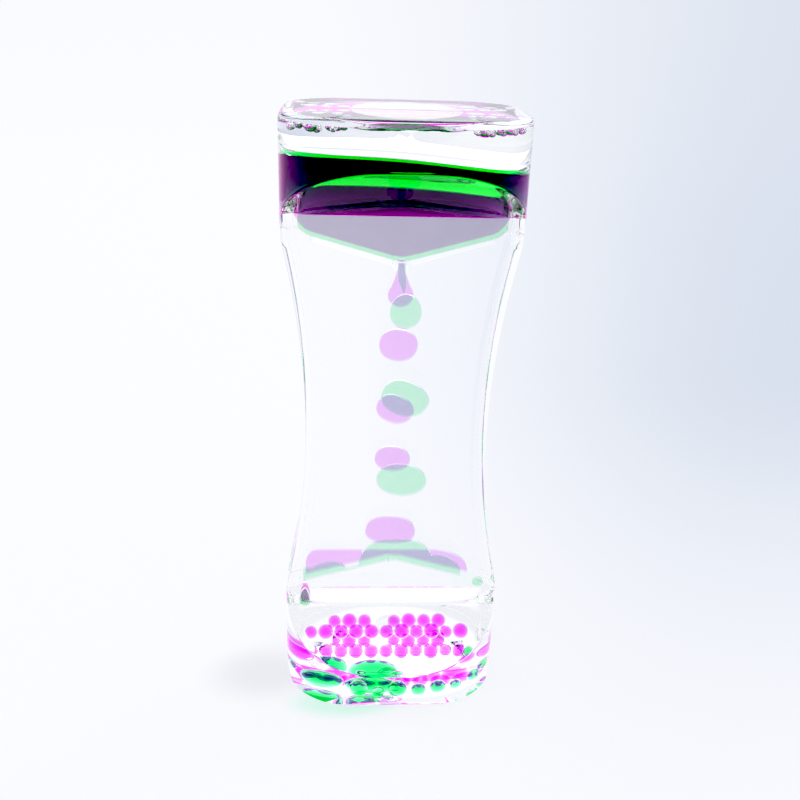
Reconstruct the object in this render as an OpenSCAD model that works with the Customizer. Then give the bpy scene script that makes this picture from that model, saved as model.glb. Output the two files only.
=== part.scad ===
// Liquid motion timer: a clear hourglass tank split by a plate into a front and a rear chamber.
// In each chamber dyed water sinks through clear oil, drop by drop, from a funnel at the top.
// Origin at the centre of the base, +Z up, front towards -Y. Millimetres.

/* [Housing] */
// Height over both end faces
body_h = 143; // [125:1:165]
// Width of the two ends
body_w = 54; // [48:1:64]
// Depth of the two ends
body_d = 40.5; // [34:0.5:50]
// Width at the waist
waist_w = 43; // [37:1:46]
// Thickness of the flat middle
middle_d = 12; // [11:0.5:16]
// Radius of the long hollow curve of each side
waist_r = 195; // [150:5:260]
// Radius of the shoulder where the side curve meets the straight end
shoulder_r = 25; // [15:1:35]
// Roundness of the oval plan: 2 is an ellipse, more is squarer
plan_power = 2.5; // [2.1:0.1:3]
// Height of the crease where the flat middle begins, from each end
crease_h = 21.5; // [18:0.5:26]
// Height where the slope reaches the full depth, from each end
slope_h = 10; // [7:0.5:12]
// Rounding of the outer edges of the end faces
edge_r = 2; // [0.5:0.25:3]

/* [Walls] */
// Wall of the front and rear faces
face_wall = 2.4; // [1.8:0.1:3]
// Wall of the two sides
side_wall = 3; // [2.4:0.1:3.6]
// Wall of the two end faces
end_wall = 1.8; // [1.4:0.1:2.6]
// Thickness of the plate between the chambers
divider_t = 1.2; // [0.8:0.1:2]
// Width of the weld rim outside the plate's seat
rim_w = 1.4; // [1:0.1:1.8]
// Play of the plate in its seat
seat_play = 0.05; // [0.02:0.01:0.1]

/* [Funnels] */
// Height of the funnel's point, from the end that it serves
funnel_h = 32.3; // [29:0.1:36]
// Slope of the funnel's blades, in degrees
funnel_slope = 15.5; // [10:0.5:20]
// Thickness of a blade
blade_t = 1.2; // [0.8:0.1:1.8]
// Width of the nozzle slot between the blades
nozzle_w = 1.8; // [1.2:0.1:2.6]
// Length of the nozzle's lips
lip_l = 0.4; // [0.2:0.1:1.5]
// Gap between the round tip of each blade and the side wall
funnel_gap = 3.4; // [2.6:0.1:4.6]

/* [Fill plugs] */
// Radius of the plug's stem and of its hole
plug_r = 2.2; // [1.5:0.1:3]
// Radius of the plug's head
plug_head_r = 3.4; // [3.2:0.1:4.5]
// Thickness of the plug's head
plug_head_t = 0.8; // [0.5:0.1:1]
// Depth of the head below the base face
plug_recess = 0.2; // [0.1:0.1:0.5]
// Play of the plug in its hole
plug_play = 0.05; // [0.02:0.01:0.1]
// Distance of each plug from the plate
plug_y = 10; // [8:0.5:12]

/* [Liquids] */
// Depth of the green pool's crest below the top face
green_head = 6.1; // [4.5:0.1:12]
// Depth of the pink pool's crest below the top face
pink_head = 8.6; // [5:0.1:14]
// Sideways place of both crests: the liquid still sways after the timer was turned over
crest_x = -14; // [-20:1:20]
// Radius of the swell of both pool surfaces
swell_r = 135; // [120:5:400]
// Play between a drop and the walls that it slides past
drop_play = 0.25; // [0.15:0.05:0.4]
// Distance that each stream of drops sinks before its lowest drop lands
sink_travel = 11; // [2:0.5:11.5]
// Play around the drops in the channel kept open through the oil
channel_play = 0.4; // [0.3:0.1:0.8]
// Radius of the largest bead on the floor
bead_r = 2; // [1.2:0.1:2.4]
// Gap between neighbouring beads
bead_gap = 0.25; // [0.15:0.05:0.5]
// Radius of the largest air bubble under the ceiling
bubble_r = 2.1; // [1.2:0.1:2.6]
// Thickness of the flat air pocket under the ceiling
pocket_t = 1; // [0.6:0.1:1.6]

/* [Hidden] */
$fn = 48;
eps = 0.01;
mid_z = body_h/2;
end_half_w = body_w/2;
waist_half_w = waist_w/2;
half_d = body_d/2;
half_mid = middle_d/2;
plate_y = divider_t/2;
chamber_y = half_mid - face_wall;
chamber_d = chamber_y - plate_y;
floor_z = end_wall;
ceiling_z = body_h - end_wall;
inner_half_w = end_half_w - side_wall;
inner_half_d = half_d - face_wall;
green_level = body_h - green_head;
pink_level = body_h - pink_head;
side_x = waist_half_w + waist_r;
shoulder_x = end_half_w - shoulder_r;
shoulder_dz = sqrt(pow(waist_r + shoulder_r, 2) - pow(side_x - shoulder_x, 2));
blend_a = atan2(shoulder_dz, side_x - shoulder_x);
facet_a = atan2(half_d - half_mid, crease_h - slope_h);
blade_drop = tan(funnel_slope);
blade_rise = blade_t/cos(funnel_slope);

// Inner half width at a height below the waist
function inner_side_x(z) = let (c = mid_z - shoulder_dz, r = shoulder_r - side_wall)
  z < c ? inner_half_w
  : z < c + r*sin(blend_a) ? shoulder_x + sqrt(r*r - pow(z - c, 2))
  : side_x - sqrt(pow(waist_r + side_wall, 2) - pow(z - mid_z, 2));

roof_end_z = funnel_h - (inner_half_w - funnel_gap)*blade_drop;
funnel_half_w = inner_side_x(roof_end_z) - funnel_gap;
tip_dz = funnel_half_w*blade_drop;
drop_d = chamber_d - 2*drop_play;
drop_y = plate_y + chamber_d/2;
nozzle_z = body_h - funnel_h - blade_rise - lip_l;
roof_apex = funnel_h + blade_rise;
tip_z = funnel_h - tip_dz;
front = -1;
rear = 1;

// Points along a circular arc, both ends included
function arc(cx, cy, r, a0, a1, n) =
  [for (i = [0:n]) let (a = a0 + (a1 - a0)*i/n) [cx + r*cos(a), cy + r*sin(a)]];

function flip(pts) = [for (i = [len(pts) - 1:-1:0]) pts[i]];

// Oval plan with half sizes a and b
function oval(a, b, power, k) = [for (i = [0:k - 1])
  let (t = 360*i/k, c = cos(t), s = sin(t))
  [a*sign(c)*pow(abs(c), 2/power), b*sign(s)*pow(abs(s), 2/power)]];

// Right side of the front view from the bottom end up to the top end, moved inwards by inset
function side_curve(inset, z0, z1, round_r) = concat(
  arc(end_half_w - inset - round_r, z0 + round_r, round_r, -90, 0, 6),
  arc(shoulder_x, mid_z - shoulder_dz, shoulder_r - inset, 0, blend_a, 8),
  arc(side_x, mid_z, waist_r + inset, 180 + blend_a, 180 - blend_a, 24),
  arc(shoulder_x, mid_z + shoulder_dz, shoulder_r - inset, -blend_a, 0, 8),
  arc(end_half_w - inset - round_r, z1 - round_r, round_r, 0, 90, 6));

function mirrored(pts) = concat(pts, flip([for (p = pts) [-p[0], p[1]]]));

// Side view: deep ends, sloping facets and the flat middle
function depth_curve(inset, z0, z1, round_r) =
  let (s = inset*tan(facet_a/2), d = half_d - inset, m = half_mid - inset) concat(
  arc(d - round_r, z0 + round_r, round_r, -90, 0, 6),
  [[d, slope_h - s], [m, crease_h - s], [m, body_h - crease_h + s], [d, body_h - slope_h + s]],
  arc(d - round_r, z1 - round_r, round_r, 0, 90, 6));

module hourglass(side_inset, face_inset, z0, z1, round_r) {
  intersection() {
    translate([0, 0, z0]) linear_extrude(z1 - z0)
      polygon(oval(end_half_w - side_inset, half_d - face_inset, plan_power, 96));
    rotate([90, 0, 0]) linear_extrude(body_d + 2, center = true)
      polygon(mirrored(side_curve(side_inset, z0, z1, round_r)));
    rotate([90, 0, 90]) linear_extrude(body_w + 2, center = true)
      polygon(mirrored(depth_curve(face_inset, z0, z1, round_r)));
  }
}

// The half space on one side of the plate, from depth y0 outwards
module beyond(side, y0) {
  translate([-body_w, side > 0 ? y0 : -y0 - body_d, -1]) cube([2*body_w, body_d, body_h + 2]);
}

module chamber(side) {
  intersection() {
    hourglass(side_wall, face_wall, floor_z, ceiling_z, edge_r/2);
    beyond(side, plate_y);
  }
}

// A flat slab standing in a chamber's middle part, drawn in the front view
module slab(side, y0, depth) {
  translate([0, side > 0 ? y0 + depth : -y0, 0]) rotate([90, 0, 0]) linear_extrude(depth) children();
}

module drop_slab(side) {
  slab(side, drop_y - drop_d/2, drop_d) children();
}

// Liquid that lies or falls near a side wall keeps clear of it
module off_the_walls() {
  intersection() {
    children();
    hourglass(side_wall + drop_play/2, face_wall + drop_play/2, floor_z, ceiling_z, edge_r/2);
  }
}

// Plug

module plug_shape(play) {
  cylinder(r = plug_r + play, h = floor_z + 1);
  translate([0, 0, -1]) cylinder(r = plug_head_r + play, h = 1 + plug_recess + plug_head_t);
}

module fill_plug(side) {
  color("white", 0.5) translate([0, side*plug_y, 0]) {
    translate([0, 0, plug_recess]) cylinder(r = plug_head_r, h = plug_head_t);
    translate([0, 0, plug_recess + plug_head_t])
      cylinder(r = plug_r, h = floor_z - plug_recess - plug_head_t);
  }
}

// Shells and plate

module plate_seat(play) {
  rotate([90, 0, 0]) linear_extrude(divider_t, center = true)
    polygon(mirrored(side_curve(rim_w - play, rim_w - play, body_h - rim_w + play, edge_r)));
}

module shell(side) {
  color("aliceblue", 0.3) difference() {
    intersection() {
      hourglass(0, 0, 0, body_h, edge_r);
      beyond(side, 0);
    }
    chamber(side);
    plate_seat(seat_play);
    translate([0, side*plug_y, 0]) plug_shape(plug_play);
  }
}

module divider_plate() {
  color("lightblue", 0.4) plate_seat(0);
}

// Funnels: two sloping blades and the nozzle slot between them. turned = 1 for the lower funnel.

function blade_outline() = concat(
  [[nozzle_w/2, body_h - funnel_h + nozzle_w/2*blade_drop]],
  arc(funnel_half_w - blade_t/2, body_h - funnel_h + tip_dz - blade_rise/2, blade_t/2,
      90 + funnel_slope, -90 + funnel_slope, 8),
  [[nozzle_w/2 + blade_t, body_h - funnel_h - blade_rise + (nozzle_w/2 + blade_t)*blade_drop],
   [nozzle_w/2 + blade_t*0.6, body_h - funnel_h - blade_rise - lip_l],
   [nozzle_w/2, body_h - funnel_h - blade_rise - lip_l]]);

module funnel(side, turned) {
  color("white", 0.4) translate([0, 0, turned*body_h]) mirror([0, 0, turned])
    for (m = [0, 1]) mirror([m, 0, 0])
      slab(side, plate_y, chamber_d) polygon(blade_outline());
}

// Pools over the upper funnels

function pool_top(level, x) = level - pow(x - crest_x, 2)/(2*swell_r);

function pool_outline(level) = let (
  apex = body_h - funnel_h, tip = apex + tip_dz, wall_x = inner_half_w) concat(
  [[-nozzle_w/2, apex - blade_rise - lip_l], [nozzle_w/2, apex - blade_rise - lip_l],
   [nozzle_w/2, apex + nozzle_w/2*blade_drop],
   [funnel_half_w - blade_t/2, tip], [funnel_half_w + 0.4, tip], [wall_x - 1.1, tip + 0.9],
   [wall_x - 0.4, tip + 2.2], [wall_x + 1, tip + 3.6]],
  [for (i = [0:16]) let (x = (wall_x + 1)*(1 - i/8)) [x, pool_top(level, x)]],
  [[-wall_x - 1, tip + 3.6], [-wall_x + 0.4, tip + 2.2], [-wall_x + 1.1, tip + 0.9],
   [-funnel_half_w - 0.4, tip], [-funnel_half_w + blade_t/2, tip],
   [-nozzle_w/2, apex + nozzle_w/2*blade_drop]]);

module pool_space(side, level) {
  intersection() {
    chamber(side);
    rotate([90, 0, 0]) linear_extrude(body_d, center = true) polygon(pool_outline(level));
  }
}

module pool(side, level) {
  difference() {
    pool_space(side, level);
    funnel(side, 0);
  }
}

// Drops: flat pancakes between the plate and the shell, [x, z, width, height]

// Height at a share of the fall from the nozzle down to the roof
function fall_z(share) = roof_apex + share*(nozzle_z - roof_apex);

green_high = [1.2, fall_z(0.871), 7.2, 8];
green_middle = [1.8, fall_z(0.586), 11.4, 9.3];
green_low = [1.6, fall_z(0.299), 12.2, 8.4];
pink_high = [0, fall_z(0.749), 9, 7.8];
pink_middle = [-0.3, fall_z(0.534), 9.1, 7.4];
pink_low = [-0.6, fall_z(0.358), 8.7, 6.5];
film_over_lips = 0.65;
landing_gap = 2.1;
pink_film_z = roof_apex + lip_l + film_over_lips;
landing_h = 7.6;
pink_landing = [-0.6, pink_film_z + landing_gap + landing_h/2, 12.6, landing_h];

module drop(side, d) {
  drop_slab(side) translate([d[0], d[1]]) polygon(oval(d[2]/2, d[3]/2, 2.15, 48));
}

// Space kept open in the oil for a stream, from the top of its first drop down to its last landing
function stream_x0(s) = min([for (d = s) d[0] - d[2]/2]) - channel_play;
function stream_x1(s) = max([for (d = s) d[0] + d[2]/2]) + channel_play;
function stream_z0(s) = min([for (d = s) d[1] - d[3]/2]) - sink_travel - channel_play;
function stream_z1(s) = max([for (d = s) d[1] + d[3]/2]) + channel_play;

green_stream = [green_high, green_middle, green_low];
pink_stream = [pink_high, pink_middle, pink_low];

module channel(side, s) {
  slab(side, plate_y - eps, chamber_d + 2*eps)
    translate([stream_x0(s), stream_z0(s)])
      square([stream_x1(s) - stream_x0(s), stream_z1(s) - stream_z0(s)]);
}

// Liquid that still hangs from the nozzles

module green_neck() {
  color("lightgreen", 0.7) drop_slab(front)
    polygon([[-1.2, nozzle_z], [1.2, nozzle_z], [1.2, nozzle_z - 1.4], [1, nozzle_z - 2.8],
      [0.9, nozzle_z - 4], [0.4, nozzle_z - 4], [-0.2, nozzle_z - 2.8], [-0.9, nozzle_z - 1.4]]);
}

module pink_pendant() {
  color("plum", 0.7) drop_slab(rear) translate([0.1, nozzle_z - 5.6])
    polygon(concat(arc(0, 0, 2.9, -230, 50, 30), [[0.9, 4.2], [0.8, 5.6], [-0.8, 5.6], [-0.9, 4.2]]));
}

// Liquid lying on the roofs, which are the lower funnels turned over

function roof_z(x) = roof_apex - abs(x)*blade_drop;
function bump(x, at, half, rise) = rise*sqrt(max(0, 1 - pow((x - at)/half, 2)));

// Each film overhangs one end of its roof and stops short of the other
film_t = 0.4;
lobe = 5.2;
green_film_x0 = -funnel_half_w - 0.65*funnel_gap;
green_film_x1 = funnel_half_w - 2.8;
function green_film_top(x) = roof_z(x) + film_t + max(bump(x, 1, 9.4, lobe),
  bump(x, green_film_x0 + lobe, lobe, 3.2), bump(x, green_film_x1 + 0.6 - lobe, lobe, 4));

pink_film_x0 = -funnel_half_w - 0.5*funnel_gap;
pink_film_x1 = funnel_half_w - 0.6;
pink_end_r = 3.4;
function pink_film_top(x) = let (e = min(x - pink_film_x0, pink_film_x1 - x, pink_end_r))
  max(roof_z(x) + 0.5, pink_film_z - pink_end_r + sqrt(pow(pink_end_r, 2) - pow(pink_end_r - e, 2)));

module roof_film(side, x0, x1, tops) {
  off_the_walls() difference() {
    drop_slab(side) polygon(concat(tops,
      [[x1, roof_z(x1) - 0.2], [nozzle_w/2, roof_z(nozzle_w/2) - 0.2],
       [-nozzle_w/2, roof_z(nozzle_w/2) - 0.2], [x0, roof_z(x0) - 0.2]]));
    funnel(side, 1);
  }
}

module green_roof_film() {
  color("lightgreen", 0.7) roof_film(front, green_film_x0, green_film_x1,
    [for (i = [0:60]) let (x = green_film_x0 + (green_film_x1 - green_film_x0)*i/60)
      [x, green_film_top(x)]]);
}

module pink_roof_film() {
  color("plum", 0.7) roof_film(rear, pink_film_x0, pink_film_x1,
    [for (i = [0:60]) let (x = pink_film_x0 + (pink_film_x1 - pink_film_x0)*i/60)
      [x, pink_film_top(x)]]);
}

// Drops that fall through the gaps at the roof's ends, [x, z, width, height], with their free fall

gap_x = funnel_half_w + funnel_gap/2 + 0.2;
gap_drop = [-gap_x, tip_z - 5.1, funnel_gap - 0.6, 6];
gap_fall = 11;
edge_drop = [gap_x, tip_z - 0.1, funnel_gap - 0.5, funnel_gap - 0.5];
edge_fall = 17;
landing_fall = 1.1;

module wall_drop(tint, side, d) {
  color(tint, 0.7) off_the_walls() drop(side, d);
}

module fall_channel(side, d, fall) {
  slab(side, plate_y - eps, chamber_d + 2*eps)
    translate([d[0] - d[2]/2 - channel_play, d[1] - d[3]/2 - fall - channel_play])
      square([d[2] + 2*channel_play, d[3] + fall + 2*channel_play]);
}

// Beads and globules on the floor, and air under the ceiling

// A ball standing on the floor or pressed against the ceiling, its middle at share*r from the face
module floor_ball(x, y, r, share) {
  intersection() {
    translate([x, y, floor_z + share*r]) sphere(r);
    translate([x - 2*r, y - 2*r, floor_z]) cube([4*r, 4*r, 4*r]);
  }
}

module ceiling_ball(x, y, r, share) {
  intersection() {
    translate([x, y, ceiling_z - share*r]) sphere(r);
    translate([x - 2*r, y - 2*r, ceiling_z - 4*r]) cube([4*r, 4*r, 4*r]);
  }
}

// Inner half width of the ends at a depth y, and inner half depth at a width x
function inner_x(y) = inner_half_w*pow(1 - pow(abs(y)/inner_half_d, plan_power), 1/plan_power);
function inner_y(x) = inner_half_d*pow(1 - pow(abs(x)/inner_half_w, plan_power), 1/plan_power);

// Radii of a row of beads, and where each one stands along the row
function bead_radius(i) = bead_r*(0.78 + 0.22*abs(sin(97*i + 20)));
function bead_x(i, x0) = i == 0 ? x0
  : bead_x(i - 1, x0) + bead_radius(i - 1) + bead_radius(i) + bead_gap;

row_y = plate_y + bead_gap + bead_r;
row_pitch = 2*bead_r + bead_gap;

// Up to n beads, as many as the floor has room for
module bead_row(n, x0, y) {
  for (i = [0:n - 1]) let (x = bead_x(i, x0), r = bead_radius(i))
    if (x + r + bead_gap < inner_x(y + r)) floor_ball(x, y, r, 0.86);
}

module pink_beads() {
  color("magenta", 0.8) {
    bead_row(11, 3.4 - inner_half_w, row_y);
    bead_row(10, 5.6 - inner_half_w, row_y + row_pitch);
    bead_row(4, 3.4, row_y + 2*row_pitch);
  }
}

// A long, low globule
module puddle(x, y, half_w, half_d2, half_h) {
  intersection() {
    translate([x, y, floor_z + 0.6*half_h]) scale([half_w, half_d2, half_h]) sphere(1, $fn = 20);
    translate([x - half_w, y - half_d2, floor_z]) cube([2*half_w, 2*half_d2, 3*half_h]);
  }
}

// Small globules along the front wall
front_radii = [2.3, 1.6, 2.4, 1.9, 2, 1.5, 1.7];
front_gap = 0.8;
function front_x(i) = i == 0 ? 16.1 - inner_half_w
  : front_x(i - 1) + front_radii[i - 1] + front_radii[i] + front_gap;

module green_globules() {
  color("limegreen", 0.8) {
    puddle(7.8 - inner_half_w, 8.65 - inner_half_d, 5.2, 3.6, 2.6);
    puddle(19.4 - inner_half_w, 9.65 - inner_half_d, 6.1, 4.2, 2.9);
    for (i = [0:len(front_radii) - 1]) let (x = front_x(i), r = front_radii[i])
      if (x + r < 0.93*inner_half_w) floor_ball(x, r + 0.45 - inner_y(abs(x) + r/2), r, 0.8);
    floor_ball(2 - inner_half_w, -plate_y - 3.8, 1.3, 0.8);
    floor_ball(inner_half_w - 3.2, -plate_y - 3.4, 1.5, 0.8);
  }
}

pocket_half_w = inner_half_w - 14;
pocket_half_d = inner_half_d - 3.85;

module air_pocket(side) {
  intersection() {
    translate([0, 0, ceiling_z - pocket_t]) linear_extrude(pocket_t)
      polygon(oval(pocket_half_w, pocket_half_d, plan_power, 48));
    beyond(side, plate_y + bead_gap);
  }
}

// Bubbles: [share of the inner half width, distance from the plate, share of the largest radius]
module bubbles(side, list) {
  for (b = list)
    ceiling_ball(b[0]*inner_half_w, side*(plate_y + b[1]), b[2]*bubble_r, b[2] > 0.7 ? 0.2 : 0.3);
}

module front_air_bubbles() {
  color("white", 0.6) {
    air_pocket(front);
    bubbles(front, [[0.6, 3, 1], [0.785, 3.6, 0.8], [0.715, 7.8, 0.6], [0.545, 7.4, 0.5],
      [0.875, 7, 0.4], [-0.54, 2.8, 0.8], [-0.695, 3.2, 0.6], [-0.825, 4, 0.6],
      [-0.6, 7.4, 0.6], [-0.76, 7.6, 0.7], [-0.515, 10.8, 0.4]]);
  }
}

module rear_air_bubbles() {
  color("white", 0.6) {
    air_pocket(rear);
    bubbles(rear, [[0.55, 2.8, 0.8], [0.715, 2.6, 0.7], [0.865, 3.6, 0.7], [0.59, 7.8, 1],
      [0.79, 7.6, 0.6], [-0.54, 3, 0.8], [-0.7, 2.6, 0.6], [-0.84, 3.8, 0.8],
      [-0.65, 7, 0.8], [-0.825, 8, 0.5]]);
  }
}

// Clear oil that fills each chamber around all of this

module oil_space(side, level, stream) {
  difference() {
    chamber(side);
    funnel(side, 0);
    funnel(side, 1);
    pool_space(side, level);
    channel(side, stream);
  }
}

module front_oil() {
  color("ghostwhite", 0.2) difference() {
    oil_space(front, green_level, green_stream);
    green_neck();
    green_roof_film();
    fall_channel(front, gap_drop, gap_fall);
    fall_channel(front, edge_drop, edge_fall);
    green_globules();
    front_air_bubbles();
  }
}

module rear_oil() {
  color("ghostwhite", 0.2) difference() {
    oil_space(rear, pink_level, pink_stream);
    pink_pendant();
    pink_roof_film();
    fall_channel(rear, pink_landing, landing_fall);
    fall_channel(rear, gap_drop, gap_fall);
    pink_beads();
    rear_air_bubbles();
  }
}

shell(front);  // front_shell
shell(rear);  // rear_shell
divider_plate();
funnel(front, 0);  // front_upper_funnel
funnel(front, 1);  // front_lower_funnel
funnel(rear, 0);  // rear_upper_funnel
funnel(rear, 1);  // rear_lower_funnel
fill_plug(front);  // front_fill_plug
fill_plug(rear);  // rear_fill_plug
front_oil();
rear_oil();
color("green", 0.8) pool(front, green_level);  // green_pool
color("magenta", 0.8) pool(rear, pink_level);  // pink_pool
green_neck();
pink_pendant();
color("lightgreen", 0.7) drop(front, green_high);  // green_drop_high
color("lightgreen", 0.7) drop(front, green_middle);  // green_drop_middle
color("lightgreen", 0.7) drop(front, green_low);  // green_drop_low
color("plum", 0.7) drop(rear, pink_high);  // pink_drop_high
color("plum", 0.7) drop(rear, pink_middle);  // pink_drop_middle
color("plum", 0.7) drop(rear, pink_low);  // pink_drop_low
color("plum", 0.7) drop(rear, pink_landing);  // pink_drop_landing
green_roof_film();
pink_roof_film();
wall_drop("lightgreen", front, gap_drop);  // green_gap_drop
wall_drop("lightgreen", front, edge_drop);  // green_edge_drop
wall_drop("plum", rear, gap_drop);  // pink_gap_drop
green_globules();
pink_beads();
front_air_bubbles();
rear_air_bubbles();
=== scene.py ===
import math

import bmesh
import bpy
from mathutils import Matrix, Vector


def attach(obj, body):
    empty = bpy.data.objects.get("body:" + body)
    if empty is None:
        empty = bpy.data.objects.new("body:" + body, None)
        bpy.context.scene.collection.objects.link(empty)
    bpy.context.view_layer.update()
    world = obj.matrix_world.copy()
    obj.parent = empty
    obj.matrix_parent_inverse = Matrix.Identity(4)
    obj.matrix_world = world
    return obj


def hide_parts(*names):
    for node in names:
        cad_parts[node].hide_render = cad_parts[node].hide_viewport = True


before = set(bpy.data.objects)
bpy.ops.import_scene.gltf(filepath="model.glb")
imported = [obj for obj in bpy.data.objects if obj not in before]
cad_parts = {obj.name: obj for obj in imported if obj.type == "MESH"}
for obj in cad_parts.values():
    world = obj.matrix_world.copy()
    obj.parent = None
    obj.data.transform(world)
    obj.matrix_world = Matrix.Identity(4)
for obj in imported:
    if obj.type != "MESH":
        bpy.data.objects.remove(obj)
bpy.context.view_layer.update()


# Table and light
# The timer stands on a pale matt board that curves up behind it. Its glow is painted light and shade:
# a painted cool grey shade on the right, a soft painted shadow and a painted green glow at the foot, painted
# light under the foot and higher up its back. A white room and one soft lamp do the rest.
def new_mesh(name, bm, *materials, sharp=35):
    """Turns a bmesh into an object at the origin, smooth but for edges that fold more than sharp degrees."""
    bm.normal_update()
    for face in bm.faces:
        face.smooth = True
    for edge in bm.edges:
        edge.smooth = len(edge.link_faces) == 2 and edge.calc_face_angle() < math.radians(sharp)
    mesh = bpy.data.meshes.new(name)
    bm.to_mesh(mesh)
    bm.free()
    for material in materials:
        mesh.materials.append(material)
    piece = bpy.data.objects.new(name, mesh)
    bpy.context.scene.collection.objects.link(piece)
    return piece


def node(tree, kind, **inputs):
    """Adds a shader node and sets its input sockets by name."""
    made = tree.nodes.new(kind)
    for socket, value in inputs.items():
        made.inputs[socket.replace("_", " ")].default_value = value
    return made


def start_material(name):
    """A new material with an empty node tree and its output."""
    material = bpy.data.materials.new(name)
    material.use_nodes = True
    tree = material.node_tree
    tree.nodes.clear()
    return material, tree, tree.nodes.new("ShaderNodeOutputMaterial")


# The board's material glows with painted light and painted shade.
board, tree, out = start_material("board_painted_light")
place = tree.nodes.new("ShaderNodeTexCoord")
split = tree.nodes.new("ShaderNodeSeparateXYZ")
tree.links.new(place.outputs["Object"], split.inputs[0])
across, away, height = split.outputs["X"], split.outputs["Y"], split.outputs["Z"]


def ramp_of(value, low, high):
    """Masks from 0 to 1 while a value runs from low to high."""
    mask = node(tree, "ShaderNodeMapRange", From_Min=low, From_Max=high)
    mask.interpolation_type = "SMOOTHSTEP"
    tree.links.new(value, mask.inputs["Value"])
    return mask.outputs["Result"]


def worked(operation, first, second):
    """Works two values together. Each is a socket or a plain number."""
    step = tree.nodes.new("ShaderNodeMath")
    step.operation = operation
    for socket, value in zip(step.inputs, (first, second)):
        if isinstance(value, (int, float)):
            socket.default_value = value
        else:
            tree.links.new(value, socket)
    return step.outputs[0]


def spot(x, y, half_x, half_y, core):
    """Masks a soft oval patch of the board, full within core and gone at its rim."""
    from_x = worked("DIVIDE", worked("SUBTRACT", across, x), half_x)
    from_y = worked("DIVIDE", worked("SUBTRACT", away, y), half_y)
    squares = worked("ADD", worked("MULTIPLY", from_x, from_x), worked("MULTIPLY", from_y, from_y))
    return ramp_of(worked("POWER", squares, 0.5), 1, core)


def tinted(mask, under, over):
    """Lays one colour over another where the mask is."""
    tone = node(tree, "ShaderNodeMixRGB", Color2=over)
    tree.links.new(mask, tone.inputs["Fac"])
    if isinstance(under, tuple):
        tone.inputs["Color1"].default_value = under
    else:
        tree.links.new(under, tone.inputs["Color1"])
    return tone.outputs["Color"]


# Board colours: a pale base, a painted cool grey shade, a painted shadow, painted light and a painted green
# glow.
pale, painted_shade_grey, painted_foot_shadow = (0.885, 0.89, 0.92, 1), (0.62, 0.67, 0.76, 1), (0.79, 0.79, 0.84, 1)
painted_light_under_foot, painted_green_glow = (1.0, 1.0, 1.01, 1), (0.66, 0.88, 0.8, 1)
fan_y, far_fade, painted_back_light = 0.21, 0.45, 0.9
# A painted cool grey shade fans out to the right behind the timer and grows weaker far back.
aside = worked("DIVIDE", across, worked("ADD", away, fan_y))
painted_shade_mask = worked("MULTIPLY", ramp_of(aside, -0.1, 0.5), ramp_of(away, -0.12, 0.22))
painted_shade_fade = worked("SUBTRACT", 1, worked("MULTIPLY", ramp_of(away, 0.4, 2), far_fade))
tone = tinted(worked("MULTIPLY", painted_shade_mask, painted_shade_fade), pale, painted_shade_grey)
# A soft painted shadow to the left of the foot.
tone = tinted(spot(-0.033, -0.006, 0.019, 0.014, 0.2), tone, painted_foot_shadow)
# Painted light under the foot, standing in for light that comes through the clear base.
tone = tinted(spot(0, 0, 0.0262, 0.0196, 0.9), tone, painted_light_under_foot)
# A painted green glow at the front left of the foot, standing in for light through the green liquid.
tone = tinted(spot(-0.012, -0.0175, 0.0175, 0.0072, 0.35), tone, painted_green_glow)
# Painted light: the board's glow grows stronger high up the curve behind.
lift = worked("ADD", 1, worked("MULTIPLY", ramp_of(height, 0.2, 0.45), painted_back_light))
# The board is lit mostly by its own painted glow; its dark diffuse part takes up little of the lamp and room.
shade = node(tree, "ShaderNodeBsdfDiffuse", Color=(0.09, 0.09, 0.09, 1))
painted_light_glow = node(tree, "ShaderNodeEmission")
tree.links.new(lift, painted_light_glow.inputs["Strength"])
tree.links.new(tone, painted_light_glow.inputs["Color"])
both = tree.nodes.new("ShaderNodeAddShader")
tree.links.new(shade.outputs[0], both.inputs[0])
tree.links.new(painted_light_glow.outputs[0], both.inputs[1])
tree.links.new(both.outputs[0], out.inputs["Surface"])

board_l, board_half_w, board_front, board_gap = 3.4, 2.4, -1, 0.0002
flat_l, bend_r = 1.8, 0.6
bm = bmesh.new()
bmesh.ops.create_grid(bm, x_segments=4, y_segments=48, size=1.0)
for v in bm.verts:
    far = (v.co.y + 1)/2*board_l
    turn = min(max(far - flat_l, 0)/bend_r, math.pi/2)
    rise = max(far - flat_l - bend_r*math.pi/2, 0)
    v.co = Vector((v.co.x*board_half_w, board_front + min(far, flat_l) + bend_r*math.sin(turn),
                   bend_r*(1 - math.cos(turn)) + rise - board_gap))
table = new_mesh("table", bm, board, sharp=60)

world = bpy.data.worlds.new("white_room")
bpy.context.scene.world = world
world.use_nodes = True
tree = world.node_tree
sky = tree.nodes["Background"]
place = tree.nodes.new("ShaderNodeTexCoord")
split = tree.nodes.new("ShaderNodeSeparateXYZ")
tree.links.new(place.outputs["Generated"], split.inputs[0])
behind = node(tree, "ShaderNodeMapRange", From_Min=-0.8, From_Max=0.1)
tree.links.new(split.outputs["Y"], behind.inputs["Value"])
ramp = tree.nodes.new("ShaderNodeValToRGB")
ramp.color_ramp.elements[0].color = (0.42, 0.47, 0.57, 1)
ramp.color_ramp.elements[1].color = (1.0, 1.0, 1.0, 1)
tree.links.new(behind.outputs["Result"], ramp.inputs["Fac"])
tree.links.new(ramp.outputs["Color"], sky.inputs["Color"])

lamp = bpy.data.lights.new("key_lamp", "AREA")
lamp.shape = "DISK"
lamp.size = 0.35
lamp.energy = 3
at, aim = Vector((0.75, 0.45, 0.9)), Vector((0, 0, 0.05))
holder = bpy.data.objects.new("key_lamp", lamp)
bpy.context.scene.collection.objects.link(holder)
holder.matrix_world = Matrix.Translation(at) @ (aim - at).to_track_quat("-Z", "Y").to_matrix().to_4x4()


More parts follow.
